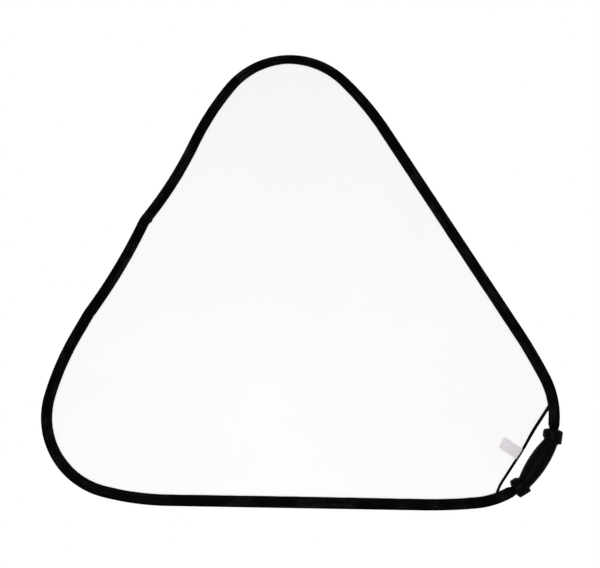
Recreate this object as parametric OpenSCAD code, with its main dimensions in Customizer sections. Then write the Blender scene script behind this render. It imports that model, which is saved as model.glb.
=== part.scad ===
// Collapsible reflector: a white panel held taut by a spring steel hoop that runs inside a black
// sewn binding, with a two-shell grip closed round one corner of the hoop.
// Everything is laid out flat about the middle of the grip, x along the grip, y inward over the
// panel and z toward the front, and upright() then stands it up facing the front.

/* [Rim] */
// Heading of the hoop at the middle of the grip, degrees above level
grip_heading = 58; // [52:1:64]
// Turn of the hoop's whole corner at the grip, degrees
grip_corner_turn = 124.5; // [122:0.1:127]
// Turn of the hoop's top corner, degrees
apex_turn = 120.6; // [118:0.1:123]
// Radius of the hoop on either side of the grip
grip_corner_r = 137; // [125:1:155]
// Radius of the hoop at the top corner
apex_r = 127; // [110:1:150]
// Radius of the hoop at the left corner
left_corner_r = 124; // [110:1:150]
// Radius of the slow curve at the ends of the top and left corners
ease_r = 433; // [350:1:500]
// Turn of that slow curve, degrees
ease_turn = 13.7; // [12:0.1:16]
// Radius of the slower curve where the corner at the grip runs into the two sides
grip_ease_r = 800; // [600:10:1000]
// Turn of that slower curve, degrees
grip_ease_turn = 6; // [4:0.5:8]
// Length of the inward bow above the splice
upper_bow_len = 138; // [120:1:150]
// Turn of that bow, degrees
upper_bow_turn = 13.4; // [11:0.1:15]
// Length of the stiff splice in the left side
splice_len = 160; // [140:1:168]
// Turn of the splice's own inward bow, degrees
splice_bow_turn = 10.5; // [9:0.1:12]
// Turn at the upper end of the splice, degrees
upper_kink_turn = 13.5; // [12:0.1:15]
// Turn at the lower end of the splice, degrees
lower_kink_turn = 6; // [4:0.1:8]
// Length of hoop taken by each of those two turns
kink_len = 8; // [6:1:12]
// Straight run below the splice
lower_run = 36; // [28:1:44]

/* [Hoop and binding] */
// Thickness of the spring steel hoop
hoop_t = 1; // [0.8:0.1:1.2]
// Width of the hoop, across the panel's plane
hoop_w = 4.5; // [4:0.1:5]
// Clearance of the hoop in its channel
hoop_gap = 0.1; // [0.05:0.01:0.2]
// Wall of the crimped ferrules on the splice
ferrule_t = 0.4; // [0.3:0.05:0.5]
// Length of a ferrule
ferrule_len = 12; // [8:1:16]
// Distance of each ferrule from the middle of the splice
ferrule_at = 52; // [30:1:56]
// Overall width of the binding
binding_w = 17; // [15.5:0.1:18]
// Thickness of the binding tape
tape_t = 0.7; // [0.6:0.05:0.9]
// Thickness of the doubled tape at the outer edge
nose_t = 1.7; // [1.3:0.05:2]
// Clearance between fitted layers
layer_gap = 0.05; // [0.03:0.01:0.08]

/* [Panel] */
// Thickness of the panel cloth
panel_t = 0.5; // [0.4:0.05:0.6]
// Depth of the panel's edge inside the binding
panel_tuck = 6.4; // [4:0.1:7]
// Clearance of the panel between the tapes
panel_gap = 0.1; // [0.05:0.01:0.15]
// Distance from the grip's axis to the near edge of the corner hem
hem_at = 27.9; // [26:0.1:34]
// Width of the corner hem
hem_w = 4.2; // [3:0.1:5]
// Width of the blank label along the hem
label_w = 18; // [14:1:26]
// Length of the label
label_len = 31.4; // [20:0.1:34]
// Thickness of the label
label_t = 0.6; // [0.5:0.05:0.8]
// Gap between the label's rolled edge and the hem
label_gap = 0.25; // [0.2:0.05:0.5]
// Offset of the label along the hem
label_at = -4.6; // [-20:0.1:20]

/* [Fold lines] */
// Distance of the first fold line from the grip's middle
fold_first = 100; // [96:1:110]
// Spacing of the fold lines
fold_pitch = 65; // [55:1:70]
// Radius of the rounded edge along a fold line
fold_r = 4.6; // [4.4:0.1:5.5]
// Seam between the two rounded edges
fold_seam = 0.4; // [0.3:0.05:0.6]

/* [Grip] */
// Largest diameter of the grip's barrel
grip_d = 30.8; // [29:0.1:34]
// Diameter of the barrel where a collar starts
grip_end_d = 23.2; // [22.5:0.1:25]
// Half the length of barrel between the collars
grip_half = 35.5; // [34:0.5:38]
// Distance of the hoop outward from the grip's axis
hoop_offset = 7.4; // [6.8:0.1:8.2]
// Length of hoop in half the barrel
grip_run = 40; // [38:1:43]
// Turn of the hoop in half the barrel, degrees
grip_run_turn = 10; // [9:0.5:11]
// Radius of the hoop's bend in a collar
collar_bend_r = 82; // [76:1:90]
// Turn of the hoop in a collar, degrees
collar_bend_turn = 15; // [13:0.5:17]
// Diameter of a collar
collar_d = 30.8; // [30:0.1:34]
// Depth of a collar along its middle
collar_depth = 20; // [18:0.5:22]
// Tilt of a collar's inner face from its outer face, degrees
collar_tilt = 16.5; // [13:0.5:19]
// Bevel round a collar's outer face
collar_bevel = 3; // [2:0.1:4]
// Wall of the grip's shells
shell_wall = 2.4; // [2:0.1:2.8]
// Gap at the parting line of the shells
parting_gap = 0.1; // [0.05:0.01:0.2]
// Clearance of the binding in a collar's mouth
mouth_gap = 0.4; // [0.3:0.05:0.6]
// Length of binding tucked into a collar
binding_tuck = 8; // [6:0.5:9]
// Thickness of the ribs that carry the hoop
rib_t = 2; // [1.6:0.1:2.4]
// Distance of the ribs from the middle of the grip
rib_at = 13.5; // [12:0.5:16]
// Spacing of the shell screws
screw_pitch = 27; // [24:1:29]
// Distance of the screws inward from the grip's axis
screw_inset = 3; // [2:0.5:4]
// Diameter of a screw's shank
screw_d = 3; // [2.5:0.1:3.5]
// Diameter of a screw's head
screw_head_d = 5.6; // [5:0.1:6]

/* [Hidden] */
$fn = 96;
near = -1;
far = 1;
whole = 0;

// Hoop: how far one stretch [length, turn] carries a pose [x, y, heading]
function arc_len(r, turn) = r * turn * PI / 180;
function carry(p, s) = s[1] == 0
  ? [p[0] + s[0] * cos(p[2]), p[1] + s[0] * sin(p[2]), p[2]]
  : let (r = s[0] * 180 / PI / s[1])
    [p[0] + r * (sin(p[2] + s[1]) - sin(p[2])), p[1] + r * (cos(p[2]) - cos(p[2] + s[1])), p[2] + s[1]];
function walk(list, p, i = 0) = i == len(list)
  ? [p]
  : concat([p], walk(list, carry(p, list[i]), i + 1));

// Turns left over once each corner's slow curves and the grip's own bends are taken
grip_bend_turn = grip_run_turn + collar_bend_turn;
right_corner_turn = grip_corner_turn - grip_heading - grip_bend_turn - grip_ease_turn;
base_corner_turn = grip_heading - grip_bend_turn - grip_ease_turn;
side_turn = upper_kink_turn + lower_kink_turn - upper_bow_turn - splice_bow_turn;
left_corner_turn = 360 - grip_corner_turn - apex_turn - side_turn;

barrel_stretch = [grip_run, grip_run_turn];
collar_stretch = [arc_len(collar_bend_r, collar_bend_turn), collar_bend_turn];
ease = [arc_len(ease_r, ease_turn), ease_turn];
grip_ease = [arc_len(grip_ease_r, grip_ease_turn), grip_ease_turn];
function corner(r, turn) = [arc_len(r, turn), turn];
function rim(right_run, base_run) = [
  barrel_stretch, collar_stretch,
  corner(grip_corner_r, right_corner_turn), grip_ease,
  [right_run, 0],
  ease, corner(apex_r, apex_turn - 2 * ease_turn), ease,
  [upper_bow_len, -upper_bow_turn],
  [kink_len, upper_kink_turn],
  [splice_len, -splice_bow_turn],
  [kink_len, lower_kink_turn],
  [lower_run, 0],
  ease, corner(left_corner_r, left_corner_turn - 2 * ease_turn), ease,
  [base_run, 0],
  grip_ease, corner(grip_corner_r, base_corner_turn),
  collar_stretch, barrel_stretch
];

// The right side and the base are as long as it takes to close the loop
start = [0, -hoop_offset, 0];
loose = walk(rim(0, 0), start);
gap_x = start[0] - loose[len(loose) - 1][0];
gap_y = start[1] - loose[len(loose) - 1][1];
right_way = grip_corner_turn - grip_heading;
base_way = -grip_heading;
spread = sin(base_way - right_way);
right_run = (gap_x * sin(base_way) - gap_y * cos(base_way)) / spread;
base_run = (gap_y * cos(right_way) - gap_x * sin(right_way)) / spread;
stretches = rim(right_run, base_run);
stations = walk(stretches, start);
function splice_no() = 10;
splice_mid = carry(stations[splice_no()], [splice_len / 2, -splice_bow_turn / 2]);
function inward(p, q) = [p[0] - q * sin(p[2]), p[1] + q * cos(p[2])];
facet_sag = 0.02;
function facets(s) = max(1, ceil(sqrt(s[0] * abs(s[1]) * PI / 180 / 8 / facet_sag)));
function samples(k) =
  let (n = facets(stretches[k]))
    [for (i = [0 : n - 1]) carry(stations[k], stretches[k] * i / n)];
function outline(q) = [for (k = [0 : len(stretches) - 1]) for (p = samples(k)) inward(p, q)];

// Chains of stretches that each side of the rim is cut from
grip_chain = [16, 17, 18, 19, 20, 0, 1, 2, 3, 4, 5];
right_chain = [1 : 6];
apex_chain = [2 : 11];
upper_left_chain = [6 : 11];
splice_chain = [7 : 13];
lower_left_chain = [9 : 15];
left_chain = [10 : 18];
base_chain = [14 : 20];

// Fold: its lines run parallel to the line from the grip's middle to the splice's middle
fold_turn = atan2(splice_mid[1], splice_mid[0]) - 90;
fold_split = norm([splice_mid[0], splice_mid[1]]) * 0.62;
reach = right_run + base_run + grip_corner_r;
function fold_line(level) = fold_first + (level - 1) * fold_pitch;

// Binding section, q inward from the hoop's middle line
nose_q = -(hoop_t / 2 + hoop_gap + nose_t);
edge_q = nose_q + binding_w;
bind_mid_q = nose_q + binding_w / 2;
channel_z = hoop_w / 2 + ferrule_t + 2 * hoop_gap;
channel_q = 1.5 * hoop_t + 2 * layer_gap + ferrule_t + hoop_gap;
crown_z = channel_z + tape_t;
slot_z = panel_t / 2 + panel_gap;
flap_z = slot_z + tape_t + layer_gap;
crown_q = channel_q + tape_t + 4 * hoop_gap;
strap_q = hoop_t + layer_gap;
panel_q = edge_q - panel_tuck;
board_z = 4 * crown_z;

// Grip, laid out from the hoop's own bends, which end in the collars' outer faces
collar_pose = walk([barrel_stretch, collar_stretch], start)[2];
collar_bore = collar_d / 2 - shell_wall;
barrel_drop = (grip_d - grip_end_d) / 2;
barrel_r = (grip_half * grip_half + barrel_drop * barrel_drop) / (2 * barrel_drop);
barrel_half = grip_half + 7;
screw_seat = -6;
screw_tip = 5;
screw_head_h = 2;
screw_clear = 0.1;
screw_grip = 0.02;
boss_d = screw_head_d + 3.4;
post_d = screw_d + 4;

tape_black = [0.05, 0.05, 0.055];
cloth_white = [0.95, 0.95, 0.94];
grip_black = [0.08, 0.08, 0.085];
steel_grey = [0.62, 0.63, 0.65];
label_white = [0.88, 0.87, 0.92];

module upright() rotate([90, 0, 0]) rotate([0, 0, grip_heading]) children();

// Flat ribbon that follows a chain of stretches, from q1 to q2 inward of the hoop's middle line
module ribbon(chain, q1, q2, half_h) {
  there = [for (k = chain) for (p = samples(k)) inward(p, q1)];
  back = [for (k = chain) for (p = samples(k)) inward(p, q2)];
  n = len(back);
  translate([0, 0, -half_h]) linear_extrude(2 * half_h)
    polygon(concat(there, [for (i = [n - 1 : -1 : 0]) back[i]]));
}

// Room of one strip between fold lines, its edges rounded about them
module strip(level) {
  flip = level < 0 ? 1 : 0;
  n = abs(level);
  lo = n == 0 ? -fold_line(1) : fold_line(n);
  hi = n == 3 ? reach : fold_line(n + 1);
  rotate([0, 0, fold_turn]) mirror([flip, 0, 0]) difference() {
    union() {
      translate([lo, -reach, -board_z]) cube([hi - lo, 2 * reach, 2 * board_z]);
      if (n < 3) fold_bar(hi, fold_r);
      if (n == 0) fold_bar(lo, fold_r);
    }
    if (n > 0) fold_bar(lo, fold_r + fold_seam);
  }
}

module fold_bar(at, r) {
  translate([at, -reach, 0]) rotate([-90, 0, 0]) cylinder(h = 2 * reach, r = r);
}

module half(side) {
  y = side == near ? fold_split - reach : fold_split;
  rotate([0, 0, fold_turn]) translate([-reach, y, -board_z]) cube([2 * reach, reach, 2 * board_z]);
}

// The part of a rim piece that lies in one strip, on the grip's side of it or the far side
module rim_piece(level, side) {
  intersection() {
    children();
    strip(level);
    if (side != whole) half(side);
  }
}

module binding(chain, room = 0) {
  back = -(hoop_t / 2 + hoop_gap + room);
  difference() {
    union() {
      ribbon(chain, nose_q, crown_q, crown_z);
      ribbon(chain, nose_q, edge_q, flap_z);
    }
    ribbon(chain, back, channel_q, channel_z);
    ribbon(chain, channel_q / 2, edge_q + 1, slot_z);
  }
}

module hoop(chain, q = 0, gap = 0) {
  ribbon(chain, q - hoop_t / 2 - gap, q + hoop_t / 2 + gap, hoop_w / 2 + gap);
}

module binding_piece(level, side, chain) rim_piece(level, side) binding(chain);

module hoop_piece(level, side, chain) rim_piece(level, side) hoop(chain);

module panel_piece(level) {
  intersection() {
    translate([0, 0, -panel_t / 2]) linear_extrude(panel_t) polygon(outline(panel_q));
    strip(level);
    translate([-reach, hem_at + hem_w / 3, -board_z]) cube([2 * reach, 2 * reach, 2 * board_z]);
  }
}

// Grip
module collar_frame() {
  translate([collar_pose[0], collar_pose[1], 0]) rotate([0, 0, collar_pose[2]])
    translate([0, bind_mid_q, 0]) children();
}

module both_ends() {
  children();
  mirror([1, 0, 0]) children();
}

module barrel(shrink, half_len) {
  rotate([0, 90, 0]) rotate_extrude() intersection() {
    translate([grip_d / 2 - barrel_r, 0]) circle(r = barrel_r - shrink, $fn = 360);
    translate([0, -half_len]) square([grip_d, 2 * half_len]);
  }
}

module collar() {
  difference() {
    union() {
      translate([-collar_depth - collar_d / 4, 0, 0]) rotate([0, 90, 0])
        cylinder(h = collar_depth + collar_d / 4 - collar_bevel, d = collar_d);
      translate([-collar_bevel, 0, 0]) rotate([0, 90, 0])
        cylinder(h = collar_bevel, d1 = collar_d, d2 = collar_d - 2 * collar_bevel);
    }
    translate([-collar_depth, 0, 0]) rotate([0, 0, -collar_tilt])
      translate([-collar_d, -collar_d, -collar_d]) cube([collar_d, 2 * collar_d, 2 * collar_d]);
  }
}

module collar_room() {
  deep = collar_depth - shell_wall;
  difference() {
    translate([-collar_depth - collar_d / 4, 0, 0]) rotate([0, 90, 0])
      cylinder(h = deep + collar_d / 4, r = collar_bore);
    translate([-deep, 0, 0]) rotate([0, 0, -collar_tilt])
      translate([-collar_d, -collar_d, -collar_d]) cube([collar_d, 2 * collar_d, 2 * collar_d]);
  }
}

module collar_mouth() {
  w = binding_w + 2 * mouth_gap;
  h = 2 * (crown_z + mouth_gap);
  translate([-binding_tuck, -w / 2, -h / 2]) cube([2 * binding_tuck, w, h]);
}

module screw_places() {
  for (i = [-1 : 1]) translate([i * screw_pitch, screw_inset, 0]) children();
}

module shell_body() {
  difference() {
    union() {
      barrel(0, barrel_half);
      both_ends() collar_frame() collar();
    }
    barrel(shell_wall, barrel_half);
    both_ends() collar_frame() collar_room();
    both_ends() collar_frame() collar_mouth();
  }
  intersection() {
    for (i = [-1 : 2 : 1])
      translate([i * rib_at - rib_t / 2, -grip_d, -grip_d]) cube([rib_t, 2 * grip_d, 2 * grip_d]);
    barrel(shell_wall / 2, barrel_half);
  }
}

module hoop_groove() hoop([18, 19, 20, 0, 1, 2], 0, hoop_gap);

module grip_front_shell() {
  color(grip_black) difference() {
    union() {
      intersection() {
        shell_body();
        translate([-grip_d * 3, -grip_d * 2, parting_gap / 2]) cube([grip_d * 6, grip_d * 4, grip_d]);
      }
      intersection() {
        screw_places() translate([0, 0, parting_gap / 2]) cylinder(h = grip_d, d = post_d);
        barrel(shell_wall / 2, barrel_half);
      }
    }
    hoop_groove();
    screw_places() cylinder(h = screw_tip + 1, d = screw_d + 2 * screw_grip);
  }
}

module grip_rear_shell() {
  color(grip_black) difference() {
    union() {
      intersection() {
        shell_body();
        translate([-grip_d * 3, -grip_d * 2, -grip_d - parting_gap / 2])
          cube([grip_d * 6, grip_d * 4, grip_d]);
      }
      intersection() {
        screw_places() translate([0, 0, -grip_d - parting_gap / 2]) cylinder(h = grip_d, d = boss_d);
        barrel(shell_wall / 2, barrel_half);
      }
    }
    hoop_groove();
    screw_places() translate([0, 0, -grip_d]) {
      cylinder(h = grip_d + 1, d = screw_d + 2 * screw_clear);
      cylinder(h = grip_d + screw_seat, d = screw_head_d + 4 * screw_clear);
    }
  }
}

module grip_screws() {
  color(steel_grey) screw_places() {
    translate([0, 0, screw_seat]) cylinder(h = screw_tip - screw_seat, d = screw_d);
    difference() {
      translate([0, 0, screw_seat - screw_head_h]) cylinder(h = screw_head_h, d = screw_head_d);
      translate([0, 0, screw_seat - screw_head_h - 1]) cylinder(h = 2.2, d = 2.6, $fn = 6);
    }
  }
}

// Hoop
module hoop_grip_run() color(steel_grey) hoop_piece(0, near, grip_chain);
module hoop_right_1() color(steel_grey) hoop_piece(1, near, right_chain);
module hoop_right_2() color(steel_grey) hoop_piece(2, near, right_chain);
module hoop_apex() color(steel_grey) hoop_piece(3, whole, apex_chain);
module hoop_upper_left_2() color(steel_grey) hoop_piece(2, far, upper_left_chain);
module hoop_upper_left_1() color(steel_grey) hoop_piece(1, far, upper_left_chain);
module hoop_lower_left_1() color(steel_grey) hoop_piece(-1, far, lower_left_chain);
module hoop_lower_left_2() color(steel_grey) hoop_piece(-2, far, lower_left_chain);
module hoop_left_corner() color(steel_grey) hoop_piece(-3, whole, left_chain);
module hoop_base_2() color(steel_grey) hoop_piece(-2, near, base_chain);
module hoop_base_1() color(steel_grey) hoop_piece(-1, near, base_chain);

module splice_frame() translate([splice_mid[0], splice_mid[1], 0]) rotate([0, 0, splice_mid[2]]) children();

// The two ends of the hoop meet in the middle of the splice
module hoop_end(side) {
  difference() {
    hoop_piece(0, far, splice_chain);
    splice_frame() translate([side > 0 ? -hoop_gap : hoop_gap - reach, -board_z, -board_z])
      cube([reach, 2 * board_z, 2 * board_z]);
  }
}

module hoop_end_upper() color(steel_grey) hoop_end(1);
module hoop_end_lower() color(steel_grey) hoop_end(-1);

module splice_strap() color(steel_grey) hoop([splice_no(), splice_no() + 1], strap_q);

module splice_ferrules() {
  color(steel_grey) for (i = [-1 : 2 : 1]) {
    at = carry(splice_mid, [i * ferrule_at, -i * splice_bow_turn * ferrule_at / splice_len]);
    translate([at[0], at[1], 0]) rotate([0, 0, at[2]]) rotate([90, 0, 90])
      translate([0, 0, -ferrule_len / 2]) linear_extrude(ferrule_len) difference() {
        ferrule_outline(layer_gap + ferrule_t);
        ferrule_outline(layer_gap);
      }
  }
}

module ferrule_outline(gap) {
  translate([-hoop_t / 2 - gap, -hoop_w / 2 - gap])
    square([strap_q + hoop_t + 2 * gap, hoop_w + 2 * gap]);
}

// Binding
module binding_right_1() color(tape_black) binding_piece(1, near, right_chain);
module binding_right_2() color(tape_black) binding_piece(2, near, right_chain);
module binding_apex() color(tape_black) binding_piece(3, whole, apex_chain);
module binding_upper_left_2() color(tape_black) binding_piece(2, far, upper_left_chain);
module binding_upper_left_1() color(tape_black) binding_piece(1, far, upper_left_chain);
module binding_splice() color(tape_black) rim_piece(0, far) binding(splice_chain, layer_gap + ferrule_t);
module binding_lower_left_1() color(tape_black) binding_piece(-1, far, lower_left_chain);
module binding_lower_left_2() color(tape_black) binding_piece(-2, far, lower_left_chain);
module binding_left_corner() color(tape_black) binding_piece(-3, whole, left_chain);
module binding_base_2() color(tape_black) binding_piece(-2, near, base_chain);
module binding_base_1() color(tape_black) binding_piece(-1, near, base_chain);

// The binding stops inside each collar
module behind_mouth() {
  translate([-binding_tuck - 2 * collar_d, -2 * collar_d, -board_z])
    cube([2 * collar_d, 4 * collar_d, 2 * board_z]);
}

module binding_grip_upper() {
  color(tape_black) difference() {
    binding_piece(0, near, right_chain);
    collar_frame() behind_mouth();
  }
}

module binding_grip_lower() {
  color(tape_black) difference() {
    binding_piece(0, near, [16, 17, 18, 19]);
    mirror([1, 0, 0]) collar_frame() behind_mouth();
  }
}

// Panel
module panel_middle() color(cloth_white) panel_piece(0);
module panel_upper_1() color(cloth_white) panel_piece(1);
module panel_upper_2() color(cloth_white) panel_piece(2);
module panel_upper_3() color(cloth_white) panel_piece(3);
module panel_lower_1() color(cloth_white) panel_piece(-1);
module panel_lower_2() color(cloth_white) panel_piece(-2);
module panel_lower_3() color(cloth_white) panel_piece(-3);

module corner_hem() {
  color(tape_black) intersection() {
    translate([-reach / 2, hem_at, 0]) rotate([90, 0, 90]) linear_extrude(reach) difference() {
      translate([0, -flap_z]) square([hem_w, 2 * flap_z]);
      translate([hem_w / 3 - panel_gap, -slot_z]) square([hem_w, 2 * slot_z]);
    }
    translate([0, 0, -board_z]) linear_extrude(2 * board_z) polygon(outline(edge_q + mouth_gap));
  }
}

// Blank label, hinged on its rolled edge beside the hem
module label() {
  axis_y = hem_at + hem_w + label_t / 2 + label_gap;
  axis_z = slot_z + label_t / 2 + layer_gap;
  color(label_white) translate([label_at - label_w / 2, axis_y, axis_z]) {
    translate([0, 0, -label_t / 2]) cube([label_w, label_len, label_t]);
    rotate([0, 90, 0]) cylinder(h = label_w, d = label_t);
  }
}

upright() grip_front_shell();
upright() grip_rear_shell();
upright() grip_screws();
upright() hoop_grip_run();
upright() hoop_right_1();
upright() hoop_right_2();
upright() hoop_apex();
upright() hoop_upper_left_2();
upright() hoop_upper_left_1();
upright() hoop_end_upper();
upright() hoop_end_lower();
upright() hoop_lower_left_1();
upright() hoop_lower_left_2();
upright() hoop_left_corner();
upright() hoop_base_2();
upright() hoop_base_1();
upright() splice_strap();
upright() splice_ferrules();
upright() binding_grip_upper();
upright() binding_right_1();
upright() binding_right_2();
upright() binding_apex();
upright() binding_upper_left_2();
upright() binding_upper_left_1();
upright() binding_splice();
upright() binding_lower_left_1();
upright() binding_lower_left_2();
upright() binding_left_corner();
upright() binding_base_2();
upright() binding_base_1();
upright() binding_grip_lower();
upright() panel_middle();
upright() panel_upper_1();
upright() panel_upper_2();
upright() panel_upper_3();
upright() panel_lower_1();
upright() panel_lower_2();
upright() panel_lower_3();
upright() corner_hem();
upright() label();
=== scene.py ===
import math

import bpy
import numpy as np
from mathutils import Matrix, Vector


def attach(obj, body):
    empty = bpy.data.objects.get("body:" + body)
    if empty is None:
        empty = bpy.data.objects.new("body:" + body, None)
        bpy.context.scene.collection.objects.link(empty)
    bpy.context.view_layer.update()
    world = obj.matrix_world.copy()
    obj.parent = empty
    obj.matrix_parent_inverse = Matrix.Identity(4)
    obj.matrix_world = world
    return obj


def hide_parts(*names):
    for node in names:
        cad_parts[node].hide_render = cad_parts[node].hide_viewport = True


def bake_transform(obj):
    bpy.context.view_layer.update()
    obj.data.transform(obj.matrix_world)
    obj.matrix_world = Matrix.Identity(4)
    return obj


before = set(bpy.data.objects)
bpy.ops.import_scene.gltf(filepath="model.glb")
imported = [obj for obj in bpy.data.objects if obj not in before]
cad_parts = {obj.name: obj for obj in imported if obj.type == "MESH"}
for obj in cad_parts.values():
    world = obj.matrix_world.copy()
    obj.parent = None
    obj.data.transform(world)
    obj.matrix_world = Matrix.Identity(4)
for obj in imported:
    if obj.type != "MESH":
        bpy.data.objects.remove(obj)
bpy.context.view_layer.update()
MM = 0.001

# Rim: stretches of the hoop's middle line as (length in mm, turn in degrees), from the middle of the grip
GRIP_HEADING = 58
GRIP_CORNER_TURN = 124.5
APEX_TURN = 120.6
GRIP_CORNER_R = 137
APEX_R = 127
LEFT_CORNER_R = 124
EASE_R = 433
EASE_TURN = 13.7
GRIP_EASE_R = 800
GRIP_EASE_TURN = 6
UPPER_BOW = (138, -13.4)
UPPER_KINK = (8, 13.5)
SPLICE = (160, -10.5)
LOWER_KINK = (8, 6)
LOWER_RUN = 36
HOOP_OFFSET = 7.4
BARREL_RUN = (40, 10)
COLLAR_BEND_R = 82
COLLAR_BEND_TURN = 15

# Fold lines on each side of the line from the middle of the grip to the middle of the splice, and parallel to it
FOLD_COUNT = 3
FOLD_FIRST = 100 * MM
FOLD_PITCH = 65 * MM

# Hoop and the strap along its ends
HOOP_T = 1 * MM
HOOP_W = 4.5 * MM
HOOP_ROLL = 0.35 * MM
HOOP_END_GAP = 0.1 * MM
HOOP_STEP = 5 * MM
STRAP_Q = 1.05 * MM

# Tape folded over an edge. The power shapes its fold: 1 gives an ellipse, and less is squarer.
FOLD_POWER = 2 / 2.8
TAPE_T = 0.7 * MM
SLOT = 0.55 * MM

# Binding: nose and ease are where its round fold ends and where it lies flat
BINDING_W = 17 * MM
BINDING_STEP = 3 * MM
BINDING_FIXED = 5 * MM
NOSE_Q = -2.3 * MM
NOSE = 3.6 * MM
EASE = 9 * MM
POCKET = 1.2 * MM
CROWN = 3.55 * MM
FLAP = 1.25 * MM
WIDTH_RIPPLE = 0.14 * MM
SWELL = 0.035
BINDING_TUCK = 8 * MM
NECK_LEN = 6 * MM
NECK_NARROW = 2.2 * MM
NECK_PINCH = 0.8 * MM
NECK_SWELL = 0.08
TUCK_OUT = 1.4 * MM
TUCK_BEFORE_KINK = 3 * MM
TUCK_HALF = 2.5 * MM

# Stitches, in a furrow along the binding's edge
STITCH_PITCH = 3.4 * MM
STITCH_LEN = 2.7 * MM
STITCH_IN = 3 * MM
STITCH_HUMP = 0.30 * MM
STITCH_SINK = 0.16 * MM
THREAD_R = 0.24 * MM
FURROW = 0.32 * MM
FURROW_HALF = 0.7 * MM

# Panel. Its puckers fade inward, and its folds and puckers die out at the seam.
PANEL_Q = 8.3 * MM
PANEL_T = 0.5 * MM
PANEL_CELL = 6 * MM
PANEL_COLUMNS = 121
PANEL_UNDER_HEM = 0.5 * MM
FOLD_TAPER = 0.36
FOLD_TROUGH = 0.6
FOLD_TROUGH_AT = 1.7
PUCKER = 0.28 * MM
PUCKER_FADE = 17 * MM
SEAM_FADE = 9 * MM

# Corner hem: its line is AT inward of the grip's axis. Its step and its drop have a size, a start and a length.
HEM_ENDS = (-79 * MM, 88 * MM)
HEM_AT = 30 * MM
HEM_RISE, HEM_RISE_FROM, HEM_RISE_LEN = 2.6 * MM, -6 * MM, 52 * MM
HEM_DROP, HEM_DROP_FROM, HEM_DROP_LEN = 3.4 * MM, -54 * MM, 22 * MM
HEM_STEP = 2 * MM
HEM_W = 4.4 * MM
HEM_WIDEN = 0.2
HEM_WIDEN_LEN = 50 * MM
HEM_CROWN = 1.05 * MM
HEM_EDGE_DROP = 0.12 * MM
HEM_NOSE = 1.2 * MM
HEM_EASE = 1.9 * MM
HEM_SWELL = 0.05

# Label. Its lift is from the panel's plane at the root, with more at the tip and more again at one corner.
LABEL_FROM = -13.6 * MM
LABEL_TO = 4.4 * MM
LABEL_ROOT = 30.8 * MM
LABEL_LEN = 33 * MM
LABEL_T = 0.5 * MM
LABEL_STEP = 1.5 * MM
LABEL_ROWS = 16
LABEL_LIFT, LABEL_TIP_LIFT, LABEL_CORNER_LIFT = 0.72, 1.3, 0.7
LABEL_SKEW = 2.2 * MM

# Grip, in mm along its axis, inward over the panel and toward the front
GRIP_D = 30.8
GRIP_END_D = 23.2
GRIP_HALF = 35.5
BARREL_HALF = 42.5
COLLAR_D = 30.8
COLLAR_DEPTH = 20
COLLAR_TILT = 16.5
COLLAR_DOME_R = 34
COLLAR_EDGES = (2.2, 3.6)
COLLAR_FILLET = 4
SHELL_WALL = 2.4
PARTING_GAP = 0.1
MOUTH_HALF = (7.6, 4.1)
MOUTH_SHIFT = -0.45
MOUTH_R = 3
CHANNEL_HALF = (1.4, 3.1)
SCREW_PITCH = 27
SCREW_INSET = 3
SCREW_SEAT = 6
BOSS_R = 4.5
HEAD_ROOM_R = 3
NET_CELL = 0.75

# Roundings where the grip's forms meet, in mm
WALL_ROUND = 0.8
MOUTH_ROUND = 1.0
BOSS_ROUND = 1.0
CHANNEL_ROUND = 0.5
SEAT_ROUND = 0.7
PARTING_ROUND = 0.6


# Rim

def smoothstep(x):
    x = np.clip(x, 0, 1)
    return x * x * (3 - 2 * x)


def turned(points, degrees):
    """Points (x, z) turned about the origin."""
    a = math.radians(degrees)
    return np.asarray(points) @ np.array([[math.cos(a), math.sin(a)], [-math.sin(a), math.cos(a)]])


class Path:
    """A line in the panel's plane, walked from a point and heading along arcs and straights."""

    def __init__(self, start, heading, stretches):
        lengths = np.array([length for length, _ in stretches]) * MM
        turns = np.radians([turn for _, turn in stretches])
        self.station = np.concatenate([[0], np.cumsum(lengths)])
        self.heading = math.radians(heading) + np.concatenate([[0], np.cumsum(turns)])
        self.bend = np.divide(turns, lengths, out=np.zeros_like(turns), where=lengths > 0)
        steps = self.chord(lengths, turns, self.heading[:-1])
        self.point = np.asarray(start) + np.vstack([np.zeros(2), np.cumsum(steps, axis=0)])

    @staticmethod
    def chord(length, turn, heading):
        """Step across an arc, which is a straight where its turn is 0."""
        reach = length * np.sinc(turn / (2 * np.pi))
        way = heading + turn / 2
        return np.stack([reach * np.cos(way), reach * np.sin(way)], axis=-1)

    def at(self, s):
        """Points (x, z) and headings at arc lengths s, which go on round a closed line."""
        s = np.mod(s, self.station[-1])
        k = np.clip(np.searchsorted(self.station, s, side="right") - 1, 0, len(self.bend) - 1)
        along = s - self.station[k]
        turn = self.bend[k] * along
        return self.point[k] + self.chord(along, turn, self.heading[k]), self.heading[k] + turn


def arc(radius, turn):
    return radius * math.radians(turn), turn


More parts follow.
